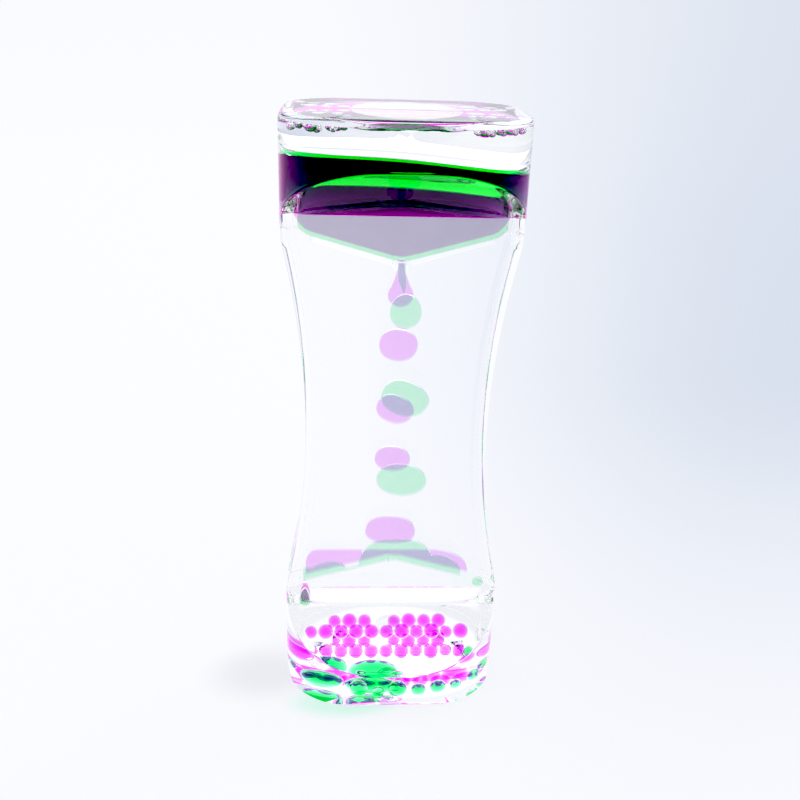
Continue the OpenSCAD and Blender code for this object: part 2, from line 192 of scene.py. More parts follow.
# Camera
# It looks from the photograph's own angle, in front and a little above, slightly tilted. Deep tones are
# pressed down to black, and light may pass many faces, because the timer is clear all through.
camera = bpy.data.cameras.new("camera")
camera.sensor_width = 36
camera.lens = 42.948
camera.clip_start = 0.005
eye = bpy.data.objects.new("camera", camera)
bpy.context.scene.collection.objects.link(eye)
bpy.context.scene.camera = eye
yaw, pitch, roll = math.radians(3.78), math.radians(23.428), math.radians(1.973)
ahead = Vector((math.sin(yaw)*math.cos(pitch), math.cos(yaw)*math.cos(pitch), -math.sin(pitch)))
level = Vector((math.cos(yaw), -math.sin(yaw), 0))
upward = level.cross(ahead)
right = level*math.cos(roll) + upward*math.sin(roll)
top = upward*math.cos(roll) - level*math.sin(roll)
eye_at = Vector((-0.01296, -0.20934, 0.16679))
eye.matrix_world = Matrix((
    (right.x, top.x, -ahead.x, eye_at.x), (right.y, top.y, -ahead.y, eye_at.y),
    (right.z, top.z, -ahead.z, eye_at.z), (0, 0, 0, 1)))

scene = bpy.context.scene
scene.view_settings.view_transform = "Standard"
scene.view_settings.look = "None"
scene.view_settings.use_curve_mapping = True
scene.view_settings.curve_mapping.black_level = (0.09, 0.09, 0.09)
scene.view_settings.curve_mapping.update()
scene.cycles.max_bounces = 48
scene.cycles.transmission_bounces = 48
scene.cycles.transparent_max_bounces = 64
scene.cycles.glossy_bounces = 12


# Front and rear shell
# Two clear acrylic halves, injection moulded with an hourglass outline, deep ends and a flat middle, and
# welded together along a narrow rim. Inside each is a recess for the plate, then the chamber. The rear and
# the sides of the foot are wetted to the board, so they don't mirror.
mm = 0.001
body_h, end_half_w, waist_half_w, half_d, half_mid = 143, 27, 21.5, 20.25, 6
waist_r, shoulder_r, plan_power = 195, 25, 2.5
slope_h, crease_h, edge_r = 10, 21.5, 2
face_wall, side_wall, end_wall, plate_half_t, rim_w = 2.4, 3.0, 1.8, 0.6, 1.4
mid_z = body_h/2
side_x, shoulder_x = waist_half_w + waist_r, end_half_w - shoulder_r
shoulder_dz = math.sqrt((waist_r + shoulder_r)**2 - (side_x - shoulder_x)**2)
blend_a = math.atan2(shoulder_dz, side_x - shoulder_x)
facet_a = math.atan2(half_d - half_mid, crease_h - slope_h)


def soft_min(a, b, k):
    """The smaller of two values, with the corner between them rounded over k."""
    h = max(k - abs(a - b), 0)/k
    return min(a, b) - h*h*k/4


def corner(up, end_gap, edge):
    """How far the wall draws back at the rounded edge of an end."""
    return edge - math.sqrt(max(edge**2 - max(edge - (up - end_gap), 0)**2, 0))


def half_width(z, inset, end_gap, edge):
    """Half width of the hourglass at height z, inset from its sides and end_gap in from its ends."""
    up = min(z, body_h - z)
    low = mid_z - shoulder_dz
    if up < low:
        return end_half_w - inset - corner(up, end_gap, edge)
    if up < low + (shoulder_r - inset)*math.sin(blend_a):
        return shoulder_x + math.sqrt((shoulder_r - inset)**2 - (up - low)**2)
    return side_x - math.sqrt((waist_r + inset)**2 - (up - mid_z)**2)


def half_depth(z, inset, end_gap, edge, blend=0.5):
    """Half depth of the hourglass: deep ends, sloping facets, flat middle."""
    up = min(z, body_h - z)
    s = inset*math.tan(facet_a/2)
    deep, flat = half_d - inset, half_mid - inset
    slope = deep + (flat - deep)*(up - slope_h + s)/(crease_h - slope_h)
    return soft_min(deep, -soft_min(-flat, -slope, blend), blend) - corner(up, end_gap, edge)


def heights(inset, end_gap, edge):
    """Heights of the rings from the bottom to the top, close together where the shape turns."""
    s = inset*math.tan(facet_a/2)
    low, high, plain_z = slope_h - s, crease_h - s, 30
    ups = [end_gap + edge*(1 - math.cos(math.radians(15*i))) for i in range(7)]
    ups += [ups[-1] + (low - 0.5 - ups[-1])*i/4 for i in range(1, 5)]
    ups += [low + 0.15*i for i in range(-2, 4)]
    start = ups[-1]
    ups += [start + (high - 0.6 - start)*(i/24)**1.5 for i in range(1, 25)]
    ups += [high + 0.2*i for i in range(-2, 5)]
    start = ups[-1]
    ups += [start + (plain_z - start)*i/8 for i in range(1, 9)]
    ups += [plain_z + (mid_z - plain_z)*i/13 for i in range(1, 14)]
    return ups + [body_h - up for up in ups[-2::-1]]


def half_ring(z, side_inset, face_inset, end_gap, edge, start_y, blend=0.6):
    """Points of half a ring at height z, from its right end round the front to its left end."""
    a, b = end_half_w - side_inset, half_d - face_inset
    x_lim, y_lim = half_width(z, side_inset, end_gap, edge), half_depth(z, face_inset, end_gap, edge)
    n = plan_power
    x_turn = a*max(1 - min(y_lim/b, 1)**n, 0)**(1/n)
    y_turn = b*max(1 - min(x_lim/a, 1)**n, 0)**(1/n)
    if x_lim < x_turn:
        low = high = math.atan2(y_lim, x_lim)
    else:
        low, high = math.atan2(y_turn, x_lim), math.atan2(y_lim, max(x_turn, 0))
    first = math.atan2(start_y, x_lim)
    stops = [first, low - 0.045, low + 0.045, high - 0.045, high + 0.045, math.pi/2]
    for i in range(1, 5):
        stops[i] = min(max(stops[i], stops[i - 1] + 0.003), math.pi/2 - 0.004*(5 - i))
    for i in range(4, 0, -1):
        stops[i] = min(stops[i], stops[i + 1] - 0.003)
    angles = [first]
    for a0, a1, count in zip(stops, stops[1:], (7, 8, 18, 8, 13)):
        angles += [a0 + (a1 - a0)*i/count for i in range(1, count + 1)]
    points = []
    for t in angles:
        c, s = max(math.cos(t), 1e-9), max(math.sin(t), 1e-9)
        r = ((c/a)**n + (s/b)**n)**(-1/n)
        if x_lim < a - 0.02:
            r = soft_min(r, x_lim/c, blend)
        if y_lim < b - 0.02:
            r = soft_min(r, y_lim/s, blend)
        points.append((r*c, max(r*s, start_y)))
    return points + [(-x, y) for x, y in points[-2::-1]]


def closed_skin(rows, zones=(0,)):
    """A closed skin over rows of points: a grid is laid along them, its side edges meet and its ends draw
    shut. zones holds the material index of each column, and the last one goes on to the end."""
    bm = bmesh.new()
    n_rows, n_cols = len(rows), len(rows[0])
    bmesh.ops.create_grid(bm, x_segments=n_cols, y_segments=n_rows - 1, size=1.0)
    for face in bm.faces:
        col = int((face.calc_center_median().x + 1)/2*n_cols)
        face.material_index = zones[min(col, len(zones) - 1)]
    for v in bm.verts:
        col, row = round((v.co.x + 1)/2*n_cols), round((v.co.y + 1)/2*(n_rows - 1))
        v.co = Vector(rows[row][col % n_cols])*mm
    bmesh.ops.remove_doubles(bm, verts=bm.verts, dist=2e-7)
    bmesh.ops.dissolve_degenerate(bm, edges=bm.edges, dist=1e-7)
    bmesh.ops.recalc_face_normals(bm, faces=bm.faces)
    return bm


weld_gap = 0.01
seat_y = plate_half_t + 0.03


def shell_rows(side):
    """Rows of one half: round the outside, across the weld rim and the seat, and back round the chamber. The
    first and last rows shrink step by step to close the ends."""
    outer, seat = heights(0, 0, edge_r), heights(rim_w, rim_w, edge_r)
    inner = heights(face_wall, end_wall, edge_r/2)
    rows = []
    count = len(outer)
    shares = (0, 0.35, 0.6, 0.8)
    for i in range(-len(shares), count + len(shares)):
        j = min(max(i, 0), count - 1)
        share = 1 if i == j else shares[len(shares) - abs(i - j)]
        out_ring = half_ring(outer[j], 0, 0, 0, edge_r, weld_gap)
        in_ring = half_ring(inner[j], side_wall, face_wall, end_wall, edge_r/2, seat_y)
        seat_x = half_width(seat[j], rim_w, rim_w, edge_r)*share
        row = [(x*share, side*(weld_gap + (y - weld_gap)*share), outer[j]) for x, y in out_ring]
        row += [(-seat_x, side*weld_gap, seat[j]), (-seat_x, side*seat_y, seat[j])]
        row += [(x*share, side*(seat_y + (y - seat_y)*share), inner[j]) for x, y in reversed(in_ring)]
        row += [(seat_x, side*seat_y, seat[j]), (seat_x, side*weld_gap, seat[j])]
        rows.append(row)
    return rows


ripple = bpy.data.node_groups.new("moulding_ripple", "ShaderNodeTree")
ripple.interface.new_socket("Scale", in_out="INPUT", socket_type="NodeSocketFloat").default_value = 60
ripple.interface.new_socket("Polish", in_out="INPUT", socket_type="NodeSocketFloat").default_value = 0.02
ripple.interface.new_socket("Height", in_out="OUTPUT", socket_type="NodeSocketFloat")
ripple.interface.new_socket("Roughness", in_out="OUTPUT", socket_type="NodeSocketFloat")
ins, outs = ripple.nodes.new("NodeGroupInput"), ripple.nodes.new("NodeGroupOutput")
place = ripple.nodes.new("ShaderNodeTexCoord")
wave = node(ripple, "ShaderNodeTexNoise", Detail=1.0, Roughness=0.4)
ripple.links.new(place.outputs["Object"], wave.inputs["Vector"])
ripple.links.new(ins.outputs["Scale"], wave.inputs["Scale"])
ripple.links.new(wave.outputs["Fac"], outs.inputs["Height"])
haze = ripple.nodes.new("ShaderNodeMath")
haze.operation = "MULTIPLY"
ripple.links.new(wave.outputs["Fac"], haze.inputs[0])
ripple.links.new(ins.outputs["Polish"], haze.inputs[1])
ripple.links.new(haze.outputs[0], outs.inputs["Roughness"])


def clear_plastic(name, ior, tint, scale, polish, lift):
    """Clear moulded acrylic: a faint ripple from the mould and a little haze that varies over the face."""
    material, tree, out = start_material(name)
    shade = node(tree, "ShaderNodeBsdfPrincipled", Transmission_Weight=1.0, Base_Color=tint, IOR=ior)
    mould = tree.nodes.new("ShaderNodeGroup")
    mould.node_tree = ripple
    mould.inputs["Scale"].default_value = scale
    mould.inputs["Polish"].default_value = polish
    bump = node(tree, "ShaderNodeBump", Strength=lift, Distance=0.0002)
    tree.links.new(mould.outputs["Height"], bump.inputs["Height"])
    tree.links.new(bump.outputs["Normal"], shade.inputs["Normal"])
    tree.links.new(mould.outputs["Roughness"], shade.inputs["Roughness"])
    tree.links.new(shade.outputs[0], out.inputs["Surface"])
    return material


dry_face = clear_plastic("shell_outer_face", 1.49, (1, 1, 1, 1), 70, 0.004, 0.06)
wet_face = clear_plastic("shell_face_in_oil", 1.017, (1, 1, 1, 1), 90, 0.0, 0.06)
weld_face = clear_plastic("welded_rim_face", 1.0, (1, 1, 1, 1), 90, 0.0, 0.02)
seat_face = clear_plastic("plate_seat_face", 1.06, (0.96, 0.97, 1, 1), 90, 0.0, 0.02)
foot_face = clear_plastic("wetted_foot_face", 1.0, (1, 1, 1, 1), 90, 0.0, 0.02)
dry, in_oil, weld, seated, foot = range(5)
ring_faces = 108
shell_zones = [dry]*ring_faces + [weld, seated, weld] + [in_oil]*ring_faces + [weld, seated, weld]
foot_top, dry_half_w, dry_back, dry_front = 0.1, 19, 8, -7
for name, side in (("front_shell", -1), ("rear_shell", 1)):
    bm = closed_skin(shell_rows(side), shell_zones)
    for face in bm.faces:
        x, y, z = face.calc_center_median()/mm
        outside_oval = (x/dry_half_w)**2 + (max(y, 0)/dry_back)**2 > 1
        if face.material_index == dry and z < foot_top and outside_oval and y > dry_front:
            face.material_index = foot
    half = new_mesh(name + "_moulding", bm, dry_face, wet_face, weld_face, seat_face, foot_face, sharp=40)
    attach(half, "tank")
    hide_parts(name)


# Divider plate
# A thin flat sheet of clear acrylic, cut to the outline of the recess and held in it when the halves are
# welded. It keeps the green and the pink chamber apart.
plate_face = clear_plastic("plate_face_in_oil", 1.017, (0.984, 0.988, 0.996, 1), 120, 0.002, 0.04)
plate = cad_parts["divider_plate"]
plate.data.materials.clear()
plate.data.materials.append(plate_face)


# Funnels
# Two thin acrylic blades in each end of each chamber, bonded between plate and shell, slope to a narrow
# nozzle. Seen from the other end of the timer each funnel is the roof that the drops land on.
def drawn_in(name, by, material):
    """A copy of a solid, drawn in by a hair so that its faces and its neighbours' never share a plane."""
    bm = bmesh.new()
    bm.from_mesh(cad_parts[name].data)
    bmesh.ops.remove_doubles(bm, verts=bm.verts, dist=1e-6)
    bmesh.ops.recalc_face_normals(bm, faces=bm.faces)
    bm.normal_update()
    for v in bm.verts:
        v.co -= v.normal*v.calc_shell_factor()*by*mm
    piece = new_mesh(name + "_dressed", bm, material)
    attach(piece, "tank")
    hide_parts(name)
    return piece


hair = 0.02
blade_face = clear_plastic("funnel_blade", 1.012, (0.99, 0.995, 1, 1), 150, 0.01, 0.05)
for name in ("front_upper_funnel", "front_lower_funnel", "rear_upper_funnel", "rear_lower_funnel"):
    drawn_in(name, hair, blade_face)


# Fill plugs
# Small clear stoppers with a low head. They are pressed into the filling holes in the base and sealed for
# good, and their moulding is rougher than the tank's.
plug_face = clear_plastic("fill_plug", 1.04, (0.93, 0.94, 0.96, 1), 400, 0.3, 0.2)
for name in ("front_fill_plug", "rear_fill_plug"):
    drawn_in(name, hair, plug_face)


# Clear oil
# Mineral oil fills both chambers round everything else. It has nearly the same index as the acrylic, so it
# hides the inner walls; its own surface is only drawn in by a hair from whatever it touches.
oil, tree, out = start_material("clear_oil")
shade = node(tree, "ShaderNodeBsdfPrincipled", Transmission_Weight=1.0, Roughness=0.0, IOR=1.0, Alpha=0.03)
cloud = node(tree, "ShaderNodeTexNoise", Scale=40.0, Detail=2.0)
place = tree.nodes.new("ShaderNodeTexCoord")
tree.links.new(place.outputs["Object"], cloud.inputs["Vector"])
tone = node(tree, "ShaderNodeMixRGB", Color1=(1, 1, 1, 1), Color2=(0.985, 0.99, 1, 1))
tree.links.new(cloud.outputs["Fac"], tone.inputs["Fac"])
tree.links.new(tone.outputs["Color"], shade.inputs["Base Color"])
tree.links.new(shade.outputs[0], out.inputs["Surface"])

for name in ("front_oil", "rear_oil"):
    drawn_in(name, 2*hair, oil)


# Pools
# Dyed water that still has to run, green in front and pink behind, in the upper funnels. It is higher on
# the left, because the timer was turned over a moment ago, and its dye is stronger than a drop's.
def dyed_water(name, colour, density, ior=0.95):
    """Water with dye, seen from the oil round it: it bends light a little and absorbs some of it."""
    material, tree, out = start_material(name)
    skin = node(tree, "ShaderNodeBsdfGlass", Roughness=0.0, IOR=ior)
    place = tree.nodes.new("ShaderNodeTexCoord")
    cloud = node(tree, "ShaderNodeTexNoise", Scale=300.0, Detail=2.0)
    tree.links.new(place.outputs["Object"], cloud.inputs["Vector"])
    tone = node(tree, "ShaderNodeMixRGB", Color1=(1, 1, 1, 1), Color2=(0.96, 0.97, 0.98, 1))
    tree.links.new(cloud.outputs["Fac"], tone.inputs["Fac"])
    tree.links.new(tone.outputs["Color"], skin.inputs["Color"])
    bump = node(tree, "ShaderNodeBump", Strength=0.05, Distance=0.0001)
    tree.links.new(cloud.outputs["Fac"], bump.inputs["Height"])
    tree.links.new(bump.outputs["Normal"], skin.inputs["Normal"])
    dye = node(tree, "ShaderNodeVolumeAbsorption", Color=colour, Density=density)
    tree.links.new(skin.outputs[0], out.inputs["Surface"])
    tree.links.new(dye.outputs[0], out.inputs["Volume"])
    return material


green_dye, pink_dye, dye_strength, drop_ior = (0.12, 0.9, 0.42, 1), (0.89, 0.01, 0.99, 1), 180, 0.97
green_water = dyed_water("green_water", green_dye, dye_strength, drop_ior)
pink_water = dyed_water("pink_water", pink_dye, dye_strength, drop_ior)
deep_green, deep_pink = (0.04, 0.88, 0.27, 1), (0.95, 0.01, 0.88, 1)
deep_green_water = dyed_water("deep_green_water", deep_green, dye_strength*1.95)
deep_pink_water = dyed_water("deep_pink_water", deep_pink, dye_strength*2.1)

funnel_h, funnel_slope, blade_t = 32.3, math.radians(15.5), 1.2
nozzle_w, lip_l, funnel_gap = 1.8, 0.4, 3.4
blade_drop, blade_rise = math.tan(funnel_slope), blade_t/math.cos(funnel_slope)
inner_half_w, inner_half_d = end_half_w - side_wall, half_d - face_wall
roof_end_z = funnel_h - (inner_half_w - funnel_gap)*blade_drop
funnel_half_w = half_width(roof_end_z, side_wall, end_wall, 1) - funnel_gap
tip_z = funnel_h - funnel_half_w*blade_drop
nozzle_z = body_h - funnel_h - blade_rise - lip_l
roof_apex = funnel_h + blade_rise
crest_x, swell_r, film = -10, 150, 0.05
corner_r, oil_layer, layer_rise = 4.2, 1.45, 3
layer_z = body_h - crease_h + 2.5


def pool_bottom(x):
    """Height of the pool's underside: the blades, then up round the gap at the wall."""
    x = abs(x)
    start = inner_half_w - corner_r
    past = max(x - start, 0)
    line = body_h - funnel_h + max(min(x, start), nozzle_w/2)*blade_drop + film
    return line + past*blade_drop + corner_r - math.sqrt(corner_r**2 - min(past, corner_r)**2)


def rounding(e, r):
    """How far a corner of radius r draws back at distance e from its edge."""
    return r - math.sqrt(r*r - (r - min(max(e, 0), r))**2)


def pool_rows(side, crest, off_wall, front_r, end_r, tilt):
    """Rows of the pool's skin from left to right. front_r and end_r round its top edge at the face and at
    the side walls. In the flat middle oil parts it from the plate, where its surface is lower by tilt."""
    rows = []
    columns, steps, fin, plate_r = 90, 80, 0.02, 0.8
    half_w = inner_half_w - off_wall
    for i in range(columns + 1):
        t = math.pi*i/columns
        x = -math.copysign(abs(math.cos(t))**(2/plan_power), math.cos(t))*half_w
        inside = 0 if i in (0, columns) else 1
        low = pool_bottom(x)
        high = crest - (x - crest_x)**2/(2*swell_r) - rounding(half_w - abs(x), end_r)
        front, back = [], []
        for k in range(steps + 1):
            z = high - (high - low)*(1 - k/steps)**1.7
            limit = half_width(z, side_wall + off_wall, end_wall + film, 1)
            xx = math.copysign(min(abs(x), limit), x)
            depth = min(half_depth(z, face_wall + film, end_wall + film, 1),
                        (inner_half_d - film)*max(1 - (abs(xx)/half_w)**plan_power, 0)**(1/plan_power))
            thin = oil_layer*min(max((layer_z - z)/layer_rise, 0), 1)
            at_plate = plate_half_t + film + rounding(high - z, plate_r) + thin
            at_face = max(depth - rounding(high - z, front_r), at_plate + fin*inside)
            front.append((xx, side*at_face, z))
            back.append((xx, side*at_plate, z - inside*tilt*max(z - low, 0)/(high - low)))
        rows.append(back[::-1] + front)
    return rows


for name, side, crest, off_wall, front_r, end_r, tilt, water, slot in (
        ("green_pool", -1, body_h - 7.25, 0.9, 1.2, 2.5, 0, deep_green_water, "green_liquid"),
        ("pink_pool", 1, body_h - 6.9, film, 1, 1, 2.4, deep_pink_water, "pink_liquid")):
    bm = closed_skin(pool_rows(side, crest, off_wall, front_r, end_r, tilt))
    pool = new_mesh(name + "_water", bm, water, sharp=30)
    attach(pool, "tank")
    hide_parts(name)


# Drops
# Each drop is squeezed between plate and shell into a pancake with a rounded rim. The green ones sink in
# front, the pink ones behind; each stream sinks together, so the drops keep their distance.
drop_play = 0.25
half_gap = (half_mid - face_wall - plate_half_t)/2
drop_y, drop_half = plate_half_t + half_gap, half_gap - drop_play
liquids = {-1: (green_water, "green_liquid"), 1: (pink_water, "pink_liquid")}


def fall_z(share):
    """Height at a share of the way from the roof's ridge up to the nozzle."""
    return roof_apex + share*(nozzle_z - roof_apex)


def pancake(side, outline, rim=0.35):
    """A flat drop between the walls: its outline is filled, drawn out to its thickness and rounded."""
    bm = bmesh.new()
    ring = bmesh.ops.create_circle(bm, cap_ends=True, segments=len(outline), radius=1.0)["verts"]
    for v, (x, z) in zip(ring, outline):
        v.co = Vector((x, side*(drop_y - drop_half), z))*mm
    drawn = bmesh.ops.extrude_face_region(bm, geom=bm.faces[:])["geom"]
    bmesh.ops.translate(bm, verts=[g for g in drawn if isinstance(g, bmesh.types.BMVert)],
                        vec=Vector((0, side*2*drop_half, 0))*mm)
    rims = [e for e in bm.edges if abs(e.verts[0].co.y - e.verts[1].co.y) < 1e-7]
    bmesh.ops.bevel(bm, geom=rims, offset=rim*mm, affect="EDGES", segments=4, profile=0.5, material=-1,
                    clamp_overlap=True)
    bmesh.ops.recalc_face_normals(bm, faces=bm.faces)
    return bm


def egg(x, z, w, h, power=2.15, turn=0.0, lean=0.0, count=72):
    """Outline of a drop: an oval turned a little and fuller at one end, fitted to its width and height."""
    points = []
    for i in range(count):
        t = 2*math.pi*i/count
        c, s = math.cos(t), math.sin(t)
        u, v = math.copysign(abs(c)**(2/power), c)*w/2, math.copysign(abs(s)**(2/power), s)*h/2
        u *= 1 + lean*v/h
        points.append((u*math.cos(turn) - v*math.sin(turn), u*math.sin(turn) + v*math.cos(turn)))
    x0, x1 = min(p[0] for p in points), max(p[0] for p in points)
    z0, z1 = min(p[1] for p in points), max(p[1] for p in points)
    return [(x + (u - (x0 + x1)/2)*w/(x1 - x0), z + (v - (z0 + z1)/2)*h/(z1 - z0)) for u, v in points]


pink_film_z = roof_apex + lip_l + 0.65
landing_w, landing_h, landing_gap = 12.6, 7.6, 2.1
landing_z = pink_film_z + landing_gap + landing_h/2
drops = (
    ("green_drop_high", -1, egg(1.2, fall_z(0.871), 7.2, 8.0, 2.1, 0.0, -0.1)),
    ("green_drop_middle", -1, egg(1.8, fall_z(0.586), 11.4, 9.3, 2.3, -0.5, 0.1)),
    ("green_drop_low", -1, egg(1.6, fall_z(0.299), 12.2, 8.4, 2.15, -0.1, 0.05)),
    ("pink_drop_high", 1, egg(0, fall_z(0.749), 9, 7.8, 2.25, -0.1, 0.1)),
    ("pink_drop_middle", 1, egg(-0.3, fall_z(0.534), 9.1, 7.4, 2.2, -0.45, 0.1)),
    ("pink_drop_low", 1, egg(-0.6, fall_z(0.358), 8.7, 6.5, 2.25, -0.1, 0.05)),
    ("pink_drop_landing", 1, egg(-0.6, landing_z, landing_w, landing_h, 2.5, -0.05, -0.1)),
)
for name, side, outline in drops:
    water, slot = liquids[side]
    drop = new_mesh(name + "_water", pancake(side, outline), water, sharp=60)
    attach(drop, name)
    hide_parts(name)


# Gap drops
# Liquid that has run to the end of a roof falls through the gap at the side wall, as a long drop on the left
# and as a small one on the right.
gap_x = funnel_half_w + funnel_gap/2 + 0.2
edge_w, gap_z, edge_z = funnel_gap - 0.5, tip_z - 5.1, tip_z - 0.1
long_drop = egg(-gap_x, gap_z, funnel_gap - 0.6, 6, 2.1, 0, -0.3, 40)
for name, side, outline, water in (
        ("green_gap_drop", -1, long_drop, deep_green_water),
        ("pink_gap_drop", 1, long_drop, deep_pink_water),
        ("green_edge_drop", -1, egg(gap_x, edge_z, edge_w, edge_w, 2.0, 0, 0, 40), green_water)):
    drop = new_mesh(name + "_water", pancake(side, outline), water, sharp=60)
    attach(drop, name)
    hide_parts(name)


# Neck and pendant
# What hangs from the nozzles: a green thread that has just let go of its drop, and a growing pink drop.
# Both fill the gap between plate and shell as the drops do.
def arc(cx, cz, r, a0, a1, count):
    """Points of an arc from one angle to another, in degrees."""
    angles = [math.radians(a0 + (a1 - a0)*i/count) for i in range(count + 1)]
    return [(cx + r*math.cos(a), cz + r*math.sin(a)) for a in angles]


slot_top = body_h - funnel_h - 0.1
stem = [(0.8, slot_top), (-0.8, slot_top)]
neck = stem[::-1] + [
    (0.8, nozzle_z), (1.05, nozzle_z - 1.6), (1.15, nozzle_z - 3), (0.95, nozzle_z - 4.4),
    (0.7, nozzle_z - 5.6), (0.55, nozzle_z - 5.6), (0.2, nozzle_z - 4.4), (-0.45, nozzle_z - 3),
    (-0.8, nozzle_z - 1.6), (-0.8, nozzle_z)]
pendant = arc(0.1, nozzle_z - 6.7, 2.9, -220, 40, 40) + [
    (1.7, nozzle_z - 3.2), (1.0, nozzle_z - 1.3), (0.8, nozzle_z)] + stem + [
    (-0.8, nozzle_z), (-0.95, nozzle_z - 1.3), (-1.5, nozzle_z - 3.2)]
for name, side, outline in (("green_neck", -1, neck), ("pink_pendant", 1, pendant)):
    water, slot = liquids[side]
    hanging = new_mesh(name + "_water", pancake(side, outline, 0.2), water, sharp=60)
    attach(hanging, "tank")
    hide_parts(name)


# Films on the roofs
# Landed liquid spreads over the lower funnels in lobes before it runs off their ends. It fills the gap
# between plate and shell as the drops do.
def roof_z(x):
    """Height of the roof's upper face."""
    return roof_apex - abs(x)*blade_drop


def bump_z(x, at, half, rise):
    """How high a rounded lobe stands at x."""
    return rise*math.sqrt(max(0, 1 - ((x - at)/half)**2))


green_x0, green_x1 = -funnel_half_w - 0.65*funnel_gap, funnel_half_w - 2.8
pink_x0, pink_x1 = -funnel_half_w - 0.5*funnel_gap, funnel_half_w - 0.6
dome_x, dome_half, dome_rise, dome_power = 1, 9.4, 5.6, 2.6
lobe_half, thinnest = 5.2, 0.4


def green_top(x):
    """Surface of the green film: a dome over the ridge and a lobe on each slope."""
    foot_z = roof_z(dome_half)
    share = abs((x - dome_x)/dome_half)
    dome = foot_z + (roof_apex + dome_rise - foot_z)*max(0, 1 - share**dome_power)**(1/dome_power)
    lobes = max(bump_z(x, green_x0 + lobe_half, lobe_half, 3.2), bump_z(x, green_x1 - 4.6, lobe_half, 4))
    return max(roof_z(x) + thinnest + lobes, dome)


def quarter(share):
    """How far a rounded end has fallen at a share of its length."""
    return 1 - math.sqrt(1 - (1 - min(max(share, 0), 1))**2)


def pink_top(x):
    """Surface of the pink film: level, and rounded off short on the left and long on the right."""
    level_z = pink_film_z - 3.4*quarter((x - pink_x0)/3) - 5.4*quarter((pink_x1 - x)/11)
    return max(roof_z(x) + 0.5, level_z)


for name, side, x0, x1, top_of in (("green_roof_film", -1, green_x0, green_x1, green_top),
                                   ("pink_roof_film", 1, pink_x0, pink_x1, pink_top)):
    xs = [x0 + (x1 - x0)*i/120 for i in range(121)]
    outline = [(x, top_of(x)) for x in xs] + [(x, roof_z(x) + film) for x in reversed(xs[::10])]
    water, slot = liquids[side]
    film_water = new_mesh(name + "_water", pancake(side, outline, 0.15), water, sharp=60)
    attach(film_water, "tank")
    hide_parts(name)


# Globules and beads on the floor
# Green liquid that has arrived lies in long low globules in front, pink liquid behind the plate in rows of
# round beads that haven't run together yet. Both sit on a thin skin of oil, and their dye is the strongest.
def ball(bm, x, y, z, rx, ry, rz, floor=None, ceiling=None):
    """A round body of liquid or air, cut flat where it rests on the floor or presses on the ceiling."""
    made = bmesh.ops.create_icosphere(bm, subdivisions=4, radius=1.0)["verts"]
    for v in made:
        v.co = Vector((x + v.co.x*rx, y + v.co.y*ry, z + v.co.z*rz))
        if floor is not None and v.co.z < floor + 0.6:
            v.co.z = -soft_min(-v.co.z, -(floor + film), 0.3)
        if ceiling is not None:
            v.co.z = min(v.co.z, ceiling - film)
        v.co *= mm


floor_z, ceiling_z = end_wall, body_h - end_wall


def inner_y(x):
    """How deep the chamber's end is at x."""
    return inner_half_d*(1 - (abs(x)/inner_half_w)**plan_power)**(1/plan_power)


def inner_x(y):
    """How far the side wall of the chamber's end is at depth y."""
    return inner_half_w*(1 - (abs(y)/inner_half_d)**plan_power)**(1/plan_power)


def floor_ball(bm, x, y, r, share):
    """A bead on the floor, sunk until its middle is at a share of its radius."""
    ball(bm, x, y, floor_z + share*r, r, r, r, floor=floor_z)


bm = bmesh.new()
for x, y, half_l, half_t, half_h in ((7.8 - inner_half_w, 8.65 - inner_half_d, 5.2, 3.6, 2.1),
                                     (19.4 - inner_half_w, 6.9 - inner_half_d, 6.5, 4.2, 1.9)):
    ball(bm, x, y, floor_z + 0.6*half_h, half_l, half_t, half_h, floor=floor_z)
front_radii = (2.3, 1.6, 2.4, 1.9, 2, 1.5, 1.7)
front_gap, off_face, sunk = 0.8, 0.45, 0.8
x = 16.1 - inner_half_w
for i, r in enumerate(front_radii):
    if i:
        x += front_radii[i - 1] + r + front_gap
    floor_ball(bm, x, r + off_face - inner_y(abs(x) + r/2), r, sunk)
floor_ball(bm, 2 - inner_half_w, -plate_half_t - 3.8, 1.3, sunk)
floor_ball(bm, inner_half_w - 3.2, -plate_half_t - 3.4, 1.5, sunk)
rich_green, rich_pink = (0.01, 0.94, 0.42, 1), (1, 0.01, 0.99, 1)
rich_green_water = dyed_water("rich_green_water", rich_green, dye_strength*3.5)
rich_pink_water = dyed_water("rich_pink_water", rich_pink, dye_strength*3)
globules = new_mesh("green_globules_water", bm, rich_green_water, sharp=60)
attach(globules, "tank")
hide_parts("green_globules")

bead_r, bead_gap, smallest, off_plate, bead_sunk = 2.1, 0.12, 0.78, 1.1, 0.86


def bead_radius(i):
    """Radius of one bead in a row; no two neighbours are alike."""
    return bead_r*(smallest + (1 - smallest)*abs(math.sin(math.radians(97*i + 20))))


bm = bmesh.new()
row_y, row_pitch = plate_half_t + off_plate + bead_r, 2*bead_r + bead_gap
next_y = row_y + row_pitch
for count, start, y in ((11, 3.2 - inner_half_w, row_y), (3, -14.5, next_y), (4, 1.5, next_y)):
    x = start
    for i in range(count):
        r = bead_radius(i)
        if i:
            x += bead_radius(i - 1) + r + bead_gap
        if x + r + bead_gap < inner_x(y + r):
            floor_ball(bm, x, y, r, bead_sunk)
beads = new_mesh("pink_beads_water", bm, rich_pink_water, sharp=60)
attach(beads, "tank")
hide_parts("pink_beads")


